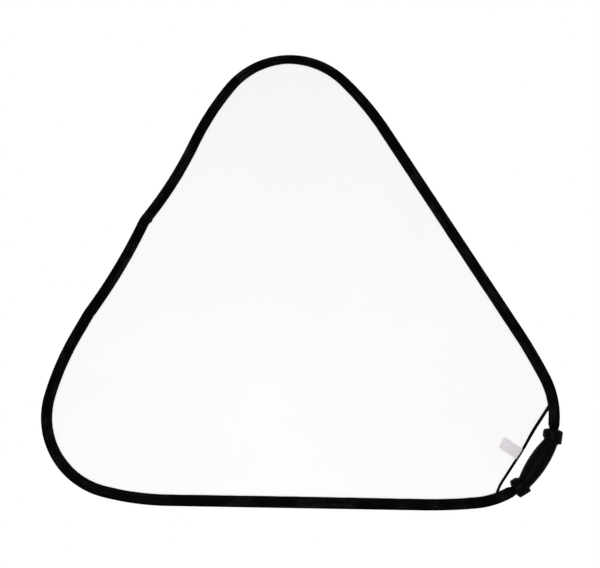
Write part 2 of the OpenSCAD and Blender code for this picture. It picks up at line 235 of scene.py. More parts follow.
def rim_stretches(right_run, base_run):
    grip_bend = BARREL_RUN[1] + COLLAR_BEND_TURN
    right_turn = GRIP_CORNER_TURN - GRIP_HEADING - grip_bend - GRIP_EASE_TURN
    base_turn = GRIP_HEADING - grip_bend - GRIP_EASE_TURN
    side_turn = UPPER_BOW[1] + UPPER_KINK[1] + SPLICE[1] + LOWER_KINK[1]
    left_turn = 360 - GRIP_CORNER_TURN - APEX_TURN - side_turn
    ease = arc(EASE_R, EASE_TURN)
    grip_ease = arc(GRIP_EASE_R, GRIP_EASE_TURN)
    collar = arc(COLLAR_BEND_R, COLLAR_BEND_TURN)
    return [
        BARREL_RUN, collar, arc(GRIP_CORNER_R, right_turn), grip_ease, (right_run, 0),
        ease, arc(APEX_R, APEX_TURN - 2 * EASE_TURN), ease,
        UPPER_BOW, UPPER_KINK, SPLICE, LOWER_KINK, (LOWER_RUN, 0),
        ease, arc(LEFT_CORNER_R, left_turn - 2 * EASE_TURN), ease, (base_run, 0),
        grip_ease, arc(GRIP_CORNER_R, base_turn), collar, BARREL_RUN,
    ]


# Places of stretches in that list. The collars end where the third begins.
COLLAR_END, RIGHT_SIDE, APEX, KINK_NO, SPLICE_NO, LEFT_CORNER, BASE = 2, 4, 6, 9, 10, 14, 16


def closed_rim():
    """The right side and the base are as long as it takes to close the loop."""
    start = turned([0, -HOOP_OFFSET * MM], GRIP_HEADING)
    loose = Path(start, GRIP_HEADING, rim_stretches(0, 0))
    ways = loose.heading[[RIGHT_SIDE, BASE]]
    runs = np.linalg.solve(np.array([np.cos(ways), np.sin(ways)]), start - loose.point[-1])
    return Path(start, GRIP_HEADING, rim_stretches(*(runs / MM)))


rim = closed_rim()
RIM_LEN = rim.station[-1]
COLLAR_FACE_S = rim.station[COLLAR_END]
BINDING_START = COLLAR_FACE_S - BINDING_TUCK


def middle_of(stretch):
    return (rim.station[stretch] + rim.station[stretch + 1]) / 2


# Fold lines and the levels between the cuts, which lie midway between the fold lines
fold_way = rim.at(middle_of(SPLICE_NO))[0]
fold_way = fold_way / np.linalg.norm(fold_way)
fold_across = np.array([fold_way[1], -fold_way[0]])
FIRST_CUT = FOLD_FIRST - FOLD_PITCH / 2
UPPER_CUTS = FIRST_CUT + np.arange(FOLD_COUNT) * FOLD_PITCH
CUTS = np.concatenate([-UPPER_CUTS[::-1], UPPER_CUTS])


def fold_uv(points):
    """Distances along and across the fold lines, from the middle of the grip."""
    flat = points[..., [0, 2]]
    return flat @ fold_way, flat @ fold_across


def level_of(v):
    return int(np.digitize(v, CUTS)) - FOLD_COUNT


def hold(obj, level):
    """The middle level rides on the grip's body, and the others are baked where they lie."""
    if level == 0:
        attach(obj, "grip_section")
        return
    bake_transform(obj)


# Meshes

def make_object(name, parts, materials):
    """One mesh from parts. A part has points, quads, their UVs, flat caps, normals and a material's number."""
    points, faces, uvs, normals, smooth, numbers = [], [], [], [], [], []
    first = 0
    for part in parts:
        quads, caps = part["quads"], part.get("caps", [])
        points.append(part["points"])
        faces += (quads + first).tolist() + [[first + i for i in cap] for cap in caps]
        cap_loops = sum(len(cap) for cap in caps)
        uvs += [part["uvs"].reshape(-1, 2), np.zeros((cap_loops, 2))]
        normals += [part["normals"][quads].reshape(-1, 3), np.zeros((cap_loops, 3))]
        smooth += [True] * len(quads) + [False] * len(caps)
        numbers += [part.get("material", 0)] * (len(quads) + len(caps))
        first += len(part["points"])
    mesh = bpy.data.meshes.new(name)
    mesh.from_pydata(np.concatenate(points).tolist(), [], faces)
    mesh.uv_layers.new(name="lengths").data.foreach_set("uv", np.concatenate(uvs).ravel())
    mesh.polygons.foreach_set("use_smooth", smooth)
    mesh.polygons.foreach_set("material_index", numbers)
    for material in materials:
        mesh.materials.append(material)
    mesh.normals_split_custom_set(np.concatenate(normals).tolist())
    mesh.update()
    obj = bpy.data.objects.new(name, mesh)
    bpy.context.scene.collection.objects.link(obj)
    return obj


def grid_quads(rows, columns, closed):
    """Corner numbers of a grid's quads, row by row, and the same with the closing column kept apart."""
    wide = columns if closed else columns - 1
    i, j = np.meshgrid(np.arange(rows - 1), np.arange(wide), indexing="ij")
    i, j = i.ravel(), j.ravel()
    corners = [(i, j), (i + 1, j), (i + 1, j + 1), (i, j + 1)]
    quads = np.stack([a * columns + b % columns for a, b in corners], axis=1)
    apart = np.stack([a * (columns + 1) + b for a, b in corners], axis=1)
    return quads, apart


def unit(vectors):
    return vectors / np.maximum(np.linalg.norm(vectors, axis=-1, keepdims=True), 1e-12)


# Sweeps along a path: q runs inward from the path, lift toward the front

def place(path, section, s):
    q, lift = section(s)
    point, heading = path.at(s)
    x = point[..., 0] - q * np.sin(heading)
    z = point[..., 1] + q * np.cos(heading)
    return np.stack(np.broadcast_arrays(x, -lift, z), axis=-1)


def cut_marks(s, v):
    """Arc lengths at which a line crosses the cuts."""
    marks = []
    for cut in CUTS:
        f = v - cut
        i = np.flatnonzero(f[:-1] * f[1:] < 0)
        marks.extend(s[i] + (s[i + 1] - s[i]) * f[i] / (f[i] - f[i + 1]))
    return np.sort(marks)


def sweep(path, section, ends, step):
    """Runs of a section along a path, each a part and its level. Inner ends of runs lie in the cuts' planes."""
    dense = np.arange(ends[0], ends[1], 0.5 * MM)
    v = fold_uv(place(path, section, dense[:, None]))[1]
    columns = v.shape[1]
    marks = np.stack([cut_marks(dense, v[:, j]) for j in range(columns)], axis=1)
    marks = np.vstack([np.full(columns, ends[0]), marks, np.full(columns, ends[1])])
    return [sweep_run(path, section, a, b, step) for a, b in zip(marks[:-1], marks[1:])]


def sweep_run(path, section, a, b, step):
    rows = max(2, math.ceil((b - a).mean() / step) + 1)
    s = a + (b - a) * np.linspace(0, 1, rows)[:, None]
    columns = len(a)
    points = place(path, section, s)
    nudge = 0.2 * MM
    along = place(path, section, s + nudge) - place(path, section, s - nudge)
    across = np.roll(points, -1, axis=1) - np.roll(points, 1, axis=1)
    sides = np.linalg.norm(np.roll(points, -1, axis=1) - points, axis=2).cumsum(axis=1)
    over = np.concatenate([np.zeros((rows, 1)), sides], axis=1)
    lengths = np.stack([np.concatenate([s, s[:, :1]], axis=1), over], axis=-1).reshape(-1, 2)
    quads, apart = grid_quads(rows, columns, closed=True)
    last = (rows - 1) * columns
    part = {
        "points": points.reshape(-1, 3),
        "quads": quads,
        "uvs": lengths[apart],
        "normals": unit(np.cross(along, across)).reshape(-1, 3),
        "caps": [list(range(columns)), list(range(last + columns - 1, last - 1, -1))],
    }
    level = level_of(fold_uv(points)[1].mean())
    return {"part": part, "level": level, "ends": (a.mean(), b.mean())}


def folded_tape(width, crown, flap, nose, ease, furrow=0.0, pocket=0.0):
    """Outline of a tape folded over an edge: (q from the fold, lift), over the front, back through the slot,
    and the same on the rear. Its channel reaches past the nose by the pocket."""
    a = np.radians(np.linspace(0, 90, 8))
    over = [nose * (1 - np.cos(a) ** FOLD_POWER), crown * np.sin(a) ** FOLD_POWER]
    t = np.linspace(0, 1, 9)[1:]
    fall = [nose + (ease - nose) * t, flap + (crown - flap) * (1 + np.cos(np.pi * t)) / 2]
    lip = (flap - SLOT) / 2
    q = np.linspace(ease, width - lip, 15)[1:]
    run = [q, flap - furrow * np.exp(-(((q - width + STITCH_IN) / FURROW_HALF) ** 2))]
    a = np.radians(np.linspace(90, -90, 7)[1:])
    edge = [width - lip + lip * np.cos(a), flap - lip + lip * np.sin(a)]
    back = [np.linspace(width - lip, nose + pocket, 5)[1:], np.full(4, SLOT)]
    a = np.radians(np.linspace(90, 0, 6))
    inside, roof = nose - TAPE_T, max(crown - TAPE_T, SLOT)
    channel = np.stack([nose - inside * np.cos(a) ** FOLD_POWER, roof * np.sin(a) ** FOLD_POWER])
    channel = np.insert(channel, 0, [nose + pocket, roof], axis=1) if pocket else channel[:, 1:]
    front = np.concatenate([np.stack(x) for x in (over, fall, run, edge, back, channel)], axis=1)
    rear = front[:, -2:0:-1] * np.array([[1], [-1]])
    return np.concatenate([front, rear], axis=1)


# Binding

def rim_width(s):
    """Width of the binding, which the sewing draws in at the apex and lets out along the base."""
    apex_from, apex_to = rim.station[APEX], rim.station[APEX + 1]
    places = [BINDING_START, middle_of(RIGHT_SIDE), rim.station[RIGHT_SIDE + 1], apex_from, middle_of(APEX), apex_to,
              middle_of(SPLICE_NO), middle_of(LEFT_CORNER), middle_of(BASE), RIM_LEN - BINDING_START]
    widths = np.array([17.5, 17.2, 16.9, 15.4, 13.8, 15.9, 16.9, 17.8, 18.3, 17.6]) * MM
    return np.interp(s, places, widths)


def collar_neck(s):
    """1 inside the collars, falling to 0 where the binding has its full width."""
    gap = np.minimum(s, RIM_LEN - s) - COLLAR_FACE_S
    return smoothstep(1 - gap / NECK_LEN)


def ripple(s, *waves):
    """Sum of slow waves along the rim, given by their lengths in mm."""
    return sum(np.sin(2 * np.pi * s / (w * MM) + w) for w in waves) / len(waves)


BINDING_OUTLINE = folded_tape(BINDING_W, CROWN, FLAP, NOSE, EASE, FURROW, POCKET)


def binding_section(s, outline=BINDING_OUTLINE):
    """The outline, its flat part as wide as the sewing leaves it, drawn in at the collars and swelling a little."""
    q, lift = outline
    neck = collar_neck(s)
    fixed = BINDING_FIXED
    width = rim_width(s) - NECK_NARROW * neck + WIDTH_RIPPLE * ripple(s, 31, 47, 83)
    width = width + TUCK_OUT * np.exp(-(((s - rim.station[KINK_NO] + TUCK_BEFORE_KINK) / TUCK_HALF) ** 2))
    share = (width - fixed) / (BINDING_W - fixed)
    q = np.where(q > fixed, fixed + (q - fixed) * share, q)
    pinch = NECK_PINCH * neck * (1 - np.clip(q / fixed, 0, 1))
    swell = 1 + SWELL * ripple(s, 38, 59) + NECK_SWELL * neck
    height = np.where(np.abs(lift) > SLOT, swell, 1)
    return NOSE_Q + q + pinch, lift * height


def stitch_row(ends, side):
    """Stitches along the binding's furrow, on the front (side 1) or the rear (side -1)."""
    lo, hi = (math.ceil(e / STITCH_PITCH) for e in ends)
    t = np.array([0, 0.12, 0.32, 0.5, 0.68, 0.88, 1.0])
    girth = np.array([0.35, 0.8, 1, 1, 1, 0.8, 0.35]) * THREAD_R
    hump = STITCH_HUMP * np.sin(np.pi * t) - STITCH_SINK
    sides = np.radians(np.arange(0, 360, 60)) * side
    middle = np.arange(lo, hi) * STITCH_PITCH
    s = middle[:, None, None] + STITCH_LEN * (t - 0.5)[None, :, None] + np.zeros((1, 1, len(sides)))
    furrow = np.stack([np.full(len(sides), BINDING_W - STITCH_IN), np.full(len(sides), FLAP - FURROW)])

    def thread(s):
        q, lift = binding_section(s, furrow)
        q = q + girth[:, None] * np.sin(sides)
        return q, side * (lift + hump[:, None] + THREAD_R) + girth[:, None] * np.cos(sides) * side

    points = place(rim, thread, s)
    along = np.gradient(points, axis=1)
    across = np.roll(points, -1, axis=2) - np.roll(points, 1, axis=2)
    rows, columns = len(t), len(sides)
    quads, apart = grid_quads(rows, columns, closed=True)
    count = len(middle)
    starts = np.arange(count) * rows * columns
    lengths = np.stack(np.meshgrid(t * STITCH_LEN, np.arange(columns + 1) * THREAD_R, indexing="ij"), axis=-1)
    normals = unit(np.cross(along, across)).reshape(-1, 3)
    first, last = list(range(columns)), list(range(rows * columns - 1, (rows - 1) * columns - 1, -1))
    return {
        "points": points.reshape(-1, 3),
        "quads": (quads[None] + starts[:, None, None]).reshape(-1, 4),
        "uvs": np.tile(lengths.reshape(-1, 2)[apart], (count, 1, 1)),
        "normals": normals,
        "caps": [[i + k for i in ring] for k in starts for ring in (first, last)],
        "material": 1,
    }


BINDING_NAMES = ["grip_upper", "right_1", "right_2", "apex", "upper_left_2", "upper_left_1", "splice",
                 "lower_left_1", "lower_left_2", "left_corner", "base_2", "base_1", "grip_lower"]


def make_binding(materials):
    """The binding's runs with their stitches, by level."""
    by_level = {}
    runs = sweep(rim, binding_section, (BINDING_START, RIM_LEN - BINDING_START), BINDING_STEP)
    for name, run in zip(BINDING_NAMES, runs):
        ends = np.clip(run["ends"], COLLAR_FACE_S, RIM_LEN - COLLAR_FACE_S)
        parts = [run["part"], stitch_row(ends, 1), stitch_row(ends, -1)]
        obj = make_object(f"tape_{name}", parts, materials)
        hold(obj, run["level"])
        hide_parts(f"binding_{name}")
        by_level.setdefault(run["level"], []).append(obj)
    return by_level


# Hoop

HOOP_NAMES = ["end_lower", "lower_left_1", "lower_left_2", "left_corner", "base_2", "base_1", "grip_run",
              "right_1", "right_2", "apex", "upper_left_2", "upper_left_1", "end_upper"]


def hoop_section(s):
    """Strip with its edges rolled round."""
    a = np.radians([0, 45, 90])
    corner = [HOOP_ROLL * np.sin(a), HOOP_ROLL * np.cos(a)]
    q, lift = HOOP_T / 2 - HOOP_ROLL + corner[0], HOOP_W / 2 - HOOP_ROLL + corner[1]
    return (np.concatenate([q, q[::-1], -q, -q[::-1]]) + 0 * s,
            np.concatenate([lift, -lift[::-1], -lift, lift[::-1]]) + 0 * s)


def make_hoop(material):
    """The hoop's runs, once round from its end in the middle of the splice."""
    start = middle_of(SPLICE_NO)
    runs = sweep(rim, hoop_section, (start + HOOP_END_GAP, start + RIM_LEN - HOOP_END_GAP), HOOP_STEP)
    for name, run in zip(HOOP_NAMES, runs):
        obj = make_object(f"spring_{name}", [run["part"]], [material])
        hold(obj, run["level"])
        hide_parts(f"hoop_{name}")


def strap_section(s):
    q, lift = hoop_section(s)
    return q + STRAP_Q, lift


def make_strap(material):
    """Strap along the two ends of the hoop, split into runs at the first cuts, as the tape is."""
    ends = rim.station[SPLICE_NO], rim.station[SPLICE_NO + 1]
    for name, run in zip(["upper", "middle", "lower"], sweep(rim, strap_section, ends, HOOP_STEP)):
        obj = make_object(f"strap_{name}", [run["part"]], [material])
        hold(obj, run["level"])
        if name == "middle":
            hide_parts("splice_strap")


# Corner hem and label, laid out from the grip's axis

class GripLine:
    """Line across the grip's corner, s along the grip's axis and m(s) inward from it."""

    def __init__(self, m):
        self.m = m

    def at(self, s):
        nudge = 0.1 * MM
        point = turned(np.stack([s, self.m(s)], axis=-1), GRIP_HEADING)
        rise = (self.m(s + nudge) - self.m(s - nudge)) / (2 * nudge)
        return point, math.radians(GRIP_HEADING) + np.arctan(rise)


def hem_m(s):
    """The hem steps inward above the label and drops into the base's binding at its lower end."""
    drop = np.maximum(HEM_DROP_FROM - s, 0) / HEM_DROP_LEN
    return HEM_AT + HEM_RISE * smoothstep((s - HEM_RISE_FROM) / HEM_RISE_LEN) - HEM_DROP * drop ** 2


hem_line = GripLine(hem_m)
HEM_OUTLINE = folded_tape(HEM_W, HEM_CROWN, HEM_CROWN - HEM_EDGE_DROP, HEM_NOSE, HEM_EASE)


def hem_section(s):
    q, lift = HEM_OUTLINE
    widen = 1 + HEM_WIDEN * smoothstep(s / HEM_WIDEN_LEN)
    return (q - HEM_W / 2) * widen, lift * (1 + HEM_SWELL * ripple(s, 17, 29))


def make_hem(material):
    pieces = []
    for name, run in zip(["lower", "middle", "upper"], sweep(hem_line, hem_section, HEM_ENDS, HEM_STEP)):
        obj = make_object(f"hem_{name}", [run["part"]], [material])
        hold(obj, run["level"])
        pieces.append(obj)
    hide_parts("corner_hem")
    return pieces


def label_section(s):
    """Folded tape that starts under the hem, leaves the panel slowly and curls a little at one corner."""
    tip = LABEL_LEN - LABEL_T / 2
    m = np.linspace(0, tip, LABEL_ROWS)
    a = np.radians(np.linspace(90, -90, 6)[1:-1])
    q = np.concatenate([m, tip + LABEL_T / 2 * np.cos(a), m[::-1]])
    lift = LABEL_T / 2 * np.concatenate([np.ones(LABEL_ROWS), np.sin(a), -np.ones(LABEL_ROWS)])
    share = np.clip(q / LABEL_LEN, 0, 1)
    side = (s - LABEL_FROM) / (LABEL_TO - LABEL_FROM)
    rise = (LABEL_LIFT + LABEL_TIP_LIFT * share ** 2 + LABEL_CORNER_LIFT * share ** 2 * (1 - side) ** 2) * MM
    skew = LABEL_SKEW * share * (side - 0.5)
    return q + skew, lift + rise


def make_label(material):
    line = GripLine(lambda s: np.full_like(s, LABEL_ROOT))
    run = sweep(line, label_section, (LABEL_FROM, LABEL_TO), LABEL_STEP)[0]
    obj = make_object("label_tape", [run["part"]], [material])
    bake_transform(obj)
    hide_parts("label")


# Panel

# Faint folds that the stretched cloth keeps: ends (x, z), half width and height in mm
FOLDS = [
    ((-414, 27), (-243, -24), 9, 0.55),
    ((-400, 60), (-300, 12), 13, 0.35),
    ((-215, 170), (-106, 133), 8, 0.5),
    ((-235, 205), (-150, 188), 12, 0.3),
    ((-643, 256), (-558, 265), 8, 0.5),
    ((-560, 380), (-470, 330), 11, 0.35),
    ((-274, 448), (-236, 472), 7, 0.5),
    ((-400, 560), (-385, 470), 14, 0.35),
    ((-690, 40), (-590, 90), 12, 0.4),
    ((-60, 40), (-170, 95), 10, 0.35),
]


def panel_depth(x, z):
    """How far the cloth stands off its plane, toward the rear."""
    depth = np.zeros_like(x)
    for (x1, z1), (x2, z2), wide, high in FOLDS:
        way = np.array([x2 - x1, z2 - z1], float) * MM
        length = np.linalg.norm(way)
        way = way / length
        dx, dz = x - x1 * MM, z - z1 * MM
        along = (dx * way[0] + dz * way[1]) / length
        across = (dz * way[0] - dx * way[1]) / (wide * MM)
        taper = np.exp(-(((along - 0.5) / FOLD_TAPER) ** 4))
        trough = FOLD_TROUGH * np.exp(-((across - FOLD_TROUGH_AT) ** 2))
        depth += high * MM * taper * (np.exp(-across ** 2) - trough)
    s = np.arange(0, RIM_LEN, 4 * MM)
    edge, _ = rim.at(s)
    flat = np.stack([x, z], axis=-1).reshape(-1, 1, 2)
    away = np.concatenate([((part - edge) ** 2).sum(axis=2) for part in np.array_split(flat, 40)])
    near = s[away.argmin(axis=1)].reshape(x.shape)
    reach = np.sqrt(away.min(axis=1)).reshape(x.shape) - BINDING_W + NOSE_Q
    pucker = PUCKER * ripple(near, 29, 41, 67) * np.exp(-np.maximum(reach, 0) / PUCKER_FADE)
    return (depth + pucker) * smoothstep(reach / SEAM_FADE)


def panel_rows():
    """Distances of the panel's rows across the fold lines, level by level, and the panel's edge. Toward the two
    outer tips the rows lie closer."""
    s = np.arange(0, RIM_LEN, 1 * MM)
    u, v = fold_uv(place(rim, lambda s: (PANEL_Q, 0), s))
    tip = 0.5 * MM
    bounds = np.concatenate([[v.min() + tip], CUTS, [v.max() - tip]])
    rows = []
    for level, (a, b) in enumerate(zip(bounds[:-1], bounds[1:]), start=-FOLD_COUNT):
        n = math.ceil((b - a) / PANEL_CELL)
        t = np.linspace(0, 1, n + 1)
        if level == FOLD_COUNT:
            t = np.sin(t * np.pi / 2)
        if level == -FOLD_COUNT:
            t = 1 - np.sin((1 - t) * np.pi / 2)
        rows.append(a + (b - a) * t)
    return rows, u, v


def row_ends(v, edge_u, edge_v, hem_u, hem_v):
    """Where a row meets the panel's edge at the grip's side, which may be the hem, and at the far side."""
    f = np.append(edge_v, edge_v[0]) - v
    u = np.append(edge_u, edge_u[0])
    i = np.flatnonzero(f[:-1] * f[1:] < 0)
    hits = u[i] + (u[i + 1] - u[i]) * f[i] / (f[i] - f[i + 1])
    return max(hits.min(), np.interp(v, hem_v, hem_u, left=-1, right=-1)), hits.max()


PANEL_NAMES = ["lower_3", "lower_2", "lower_1", "middle", "upper_1", "upper_2", "upper_3"]


def make_panel(material):
    """The panel's strips between the cuts."""
    rows, edge_u, edge_v = panel_rows()
    s = np.arange(HEM_ENDS[0], HEM_ENDS[1], 1 * MM)
    hem_u, hem_v = fold_uv(place(hem_line, lambda s: (-PANEL_UNDER_HEM, 0), s))
    for level, (name, vs) in enumerate(zip(PANEL_NAMES, rows), start=-FOLD_COUNT):
        ends = np.array([row_ends(v, edge_u, edge_v, hem_u, hem_v) for v in vs])
        u = ends[:, :1] + (ends[:, 1:] - ends[:, :1]) * np.linspace(0, 1, PANEL_COLUMNS)
        v = np.repeat(vs[:, None], PANEL_COLUMNS, axis=1)
        obj = make_object(f"cloth_{name}", [panel_part(u, v)], [material])
        hold(obj, level)
        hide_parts(f"panel_{name}")


def panel_part(u, v):
    """Two faces of cloth and the edges between them."""
    flat = u[..., None] * fold_way + v[..., None] * fold_across
    x, z = flat[..., 0], flat[..., 1]
    nudge = 0.5 * MM
    depth = panel_depth(x, z)
    slope_x = (panel_depth(x + nudge, z) - panel_depth(x - nudge, z)) / (2 * nudge)
    slope_z = (panel_depth(x, z + nudge) - panel_depth(x, z - nudge)) / (2 * nudge)
    front = unit(np.stack([slope_x, -np.ones_like(x), slope_z], axis=-1)).reshape(-1, 3)
    faces = [np.stack([x, depth + side * PANEL_T / 2, z], axis=-1).reshape(-1, 3) for side in (-1, 1)]
    rows, columns = u.shape
    quads, _ = grid_quads(rows, columns, closed=False)
    count = rows * columns
    number = np.arange(count).reshape(rows, columns)
    rim_loop = np.concatenate([number[:-1, 0], number[-1, :-1], number[:0:-1, -1], number[0, :0:-1]])
    after = np.roll(rim_loop, -1)
    walls = np.stack([after, rim_loop, rim_loop + count, after + count], axis=1)
    lengths = np.stack([u, v], axis=-1).reshape(-1, 2)
    return {
        "points": np.concatenate(faces),
        "quads": np.concatenate([quads, quads[:, ::-1] + count]),
        "uvs": np.concatenate([lengths[quads], lengths[quads[:, ::-1]]]),
        "normals": np.concatenate([front, -front]),
        "caps": walls.tolist(),
    }


# Grip

def smooth_union(a, b, k):
    h = np.clip(0.5 + 0.5 * (b - a) / k, 0, 1)
    return b + (a - b) * h - k * h * (1 - h)


def smooth_both(a, b, k):
    return -smooth_union(-a, -b, k)


def smooth_cut(a, b, k):
    return smooth_both(a, -b, k)


def barrel(t, m, n, shrink):
    """Spindle with a round side, cut off square inside the collars."""
    drop = (GRIP_D - GRIP_END_D) / 2
    radius = (GRIP_HALF ** 2 + drop ** 2) / (2 * drop)
    spindle = np.hypot(t, np.hypot(m, n) + radius - GRIP_D / 2) - radius + shrink
    return np.maximum(spindle, np.abs(t) - BARREL_HALF + shrink)


COLLAR_POSE = rim.at(COLLAR_FACE_S)


def collar_frame(t, m):
    """Distances along a collar's axis and across it, with both collars folded onto one."""
    (x, z), heading = COLLAR_POSE
    at = turned([x, z], -GRIP_HEADING) / MM
    way = heading - math.radians(GRIP_HEADING)
    dt, dm = np.abs(t) - at[0], m - at[1]
    along = dt * math.cos(way) + dm * math.sin(way)
    middle_q = (NOSE_Q + BINDING_W / 2) / MM
    return along, dm * math.cos(way) - dt * math.sin(way) - middle_q


def collar(along, across, n, shrink):
    """Drum with a domed face, cut off by a tilted plane at the back."""
    out = np.hypot(across, n)
    round_side = out - COLLAR_D / 2 + shrink
    face = np.hypot(along + COLLAR_DOME_R, out) - COLLAR_DOME_R + shrink
    tilt = math.radians(COLLAR_TILT)
    back = across * math.sin(tilt) - (along + COLLAR_DEPTH) * math.cos(tilt) + shrink
    return smooth_both(smooth_both(round_side, face, COLLAR_EDGES[0]), back, COLLAR_EDGES[1])


def mouth(along, across, n):
    """Rounded slot that the binding goes in through."""
    over = np.maximum(np.abs(across - MOUTH_SHIFT) - MOUTH_HALF[0] + MOUTH_R, 0)
    up = np.maximum(np.abs(n) - MOUTH_HALF[1] + MOUTH_R, 0)
    return np.maximum(np.hypot(over, up) - MOUTH_R, -along - BINDING_TUCK / MM)


def hoop_channel(t, m, n):
    """Way of the hoop through the grip, with room round it."""
    way = turned(rim.at(np.linspace(0, COLLAR_FACE_S + BINDING_TUCK, 60))[0], -GRIP_HEADING) / MM
    off = np.abs(m - np.interp(np.abs(t), way[:, 0], way[:, 1]))
    return np.maximum(off - CHANNEL_HALF[0], np.abs(n) - CHANNEL_HALF[1])


def grip_shell(t, m, n, side):
    """Signed distance, in mm, to the front shell (side 1) or the rear one (side -1)."""
    along, across = collar_frame(t, m)
    outside = smooth_union(barrel(t, m, n, 0), collar(along, across, n, 0), COLLAR_FILLET)
    inside = np.minimum(barrel(t, m, n, SHELL_WALL), collar(along, across, n, SHELL_WALL))
    shell = smooth_cut(smooth_cut(outside, inside, WALL_ROUND), mouth(along, across, n), MOUTH_ROUND)
    nearest = np.clip(np.round(t / SCREW_PITCH), -1, 1) * SCREW_PITCH
    off_screw = np.hypot(t - nearest, m - SCREW_INSET)
    boss = np.maximum(off_screw - BOSS_R, barrel(t, m, n, SHELL_WALL / 2))
    shell = smooth_cut(smooth_union(shell, boss, BOSS_ROUND), hoop_channel(t, m, n), CHANNEL_ROUND)
    if side < 0:
        shell = smooth_cut(shell, np.maximum(off_screw - HEAD_ROOM_R, n + SCREW_SEAT), SEAT_ROUND)
    return smooth_both(shell, PARTING_GAP / 2 - side * n, PARTING_ROUND)


def surface_net(field, low, high, cell):
    """Points, quads and normals of a field's zero surface, with one point in each cell that it crosses."""
    axes = [np.arange(a, b + cell, cell) for a, b in zip(low, high)]
    value = field(*np.meshgrid(*axes, indexing="ij"))
    shape = np.array(value.shape) - 1

    def corner(offset):
        return value[tuple(slice(o, o + k) for o, k in zip(offset, shape))]

    total, hits = np.zeros((*shape, 3)), np.zeros(shape)
    steps = np.eye(3, dtype=int)
    for axis in range(3):
        others = [steps[k] for k in range(3) if k != axis]
        for start in [0 * steps[0], others[0], others[1], others[0] + others[1]]:
            a, b = corner(start), corner(start + steps[axis])
            crossed = (a < 0) != (b < 0)
            share = np.where(crossed, a / np.where(crossed, a - b, 1), 0)
            total += crossed[..., None] * (start + share[..., None] * steps[axis])
            hits += crossed
    number = np.full(shape, -1)
    used = hits > 0
    number[used] = np.arange(used.sum())
    points = np.argwhere(used) + total[used] / hits[used][:, None]
    points = points * cell + [a[0] for a in axes]

    quads = []
    for axis in range(3):
        b, c = steps[(axis + 1) % 3], steps[(axis + 2) % 3]
        inner = [slice(1, k) for k in shape]
        inner[axis] = slice(0, shape[axis])
        first = value[tuple(inner)] < 0
        shifted = [slice(x.start + o, x.stop + o) for x, o in zip(inner, steps[axis])]
        second = value[tuple(shifted)] < 0
        origin = np.array([x.start for x in inner])
        for leaving in (True, False):
            at = np.argwhere((first & ~second) if leaving else (second & ~first)) + origin
            ring = [at - b - c, at - c, at, at - b]
            quad = np.stack([number[tuple(cell_at.T)] for cell_at in ring], axis=1)
            quads.append(quad if leaving else quad[:, ::-1])

    def slope(p):
        h = 0.02
        return np.stack([(field(*(p + h * e).T) - field(*(p - h * e).T)) / (2 * h) for e in np.eye(3)], axis=1)

    least_slope = 0.5
    for _ in range(3):
        g = slope(points)
        length = np.maximum((g * g).sum(axis=1), least_slope ** 2)
        points = points - (field(*points.T) / length)[:, None] * g
    return points, np.concatenate(quads), unit(slope(points))


def make_grip(material):
    half_t, low_m, high_m, half_n, past_parting = 74, -26, 24, 18, 0.6
    for name, side in [("front", 1), ("rear", -1)]:
        near, far = (-past_parting, half_n) if side > 0 else (-half_n, past_parting)
        points, quads, normals = surface_net(
            lambda t, m, n: grip_shell(t, m, n, side), (-half_t, low_m, near), (half_t, high_m, far), NET_CELL)

        def stand(p):
            flat = turned(p[:, :2], GRIP_HEADING)
            return np.stack([flat[:, 0], -p[:, 2], flat[:, 1]], axis=1)

        part = {
            "points": stand(points) * MM,
            "quads": quads,
            "uvs": points[quads][..., :2] * MM,
            "normals": stand(normals),
        }
        obj = make_object(f"handle_{name}", [part], [material])
        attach(obj, "grip_section")
        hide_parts(f"grip_{name}_shell")


# Materials

def new_material(name, roughness, specular, metallic=0.0):
    material = bpy.data.materials.new(name)
    material.use_nodes = True
    shader = material.node_tree.nodes["Principled BSDF"]
    shader.inputs["Roughness"].default_value = roughness
    shader.inputs["Specular IOR Level"].default_value = specular
    shader.inputs["Metallic"].default_value = metallic
    return material, shader


def node(material, kind, inputs=None, **settings):
    made = material.node_tree.nodes.new(kind)
    for key, value in settings.items():
        setattr(made, key, value)
    for key, value in (inputs or {}).items():
        if isinstance(value, bpy.types.NodeSocket):
            material.node_tree.links.new(value, made.inputs[key])
        else:
            made.inputs[key].default_value = value
    return made


def connect(material, socket, target):
    material.node_tree.links.new(socket, target)


def lengths(material):
    """Lengths along and across a piece, in metres."""
    return node(material, "ShaderNodeUVMap", uv_map="lengths").outputs["UV"]


def in_place(material):
    return node(material, "ShaderNodeTexCoord").outputs["Object"]


def bands(material, where, direction, period, distort=0.0):
    """Ribs of one period, in metres."""
    wave_unit = 2 * math.pi / 20
    inputs = {"Vector": where, "Scale": wave_unit / period, "Distortion": distort, "Detail": 1.0}
    made = node(material, "ShaderNodeTexWave", inputs, wave_type="BANDS", bands_direction=direction)
    return made.outputs["Fac"]


def noise(material, where, size, detail=2.0):
    """Soft patches about as large as size, in metres."""
    inputs = {"Vector": where, "Scale": 1 / size, "Detail": detail}
    return node(material, "ShaderNodeTexNoise", inputs).outputs["Fac"]


def maths(material, operation, a, b):
    return node(material, "ShaderNodeMath", {0: a, 1: b}, operation=operation).outputs[0]


def ramp(material, fac, stops):
    made = node(material, "ShaderNodeValToRGB", {"Fac": fac})
    marks = made.color_ramp.elements
    while len(marks) < len(stops):
        marks.new(0.5)
    for mark, (place_on, colour) in zip(marks, stops):
        mark.position = place_on
        mark.color = (*colour, 1) if len(colour) == 3 else (colour[0],) * 3 + (1,)
    return made.outputs["Color"]


def bump(material, shader, height, distance, strength=1.0):
    made = node(material, "ShaderNodeBump", {"Height": height, "Distance": distance, "Strength": strength})
    connect(material, made.outputs["Normal"], shader.inputs["Normal"])


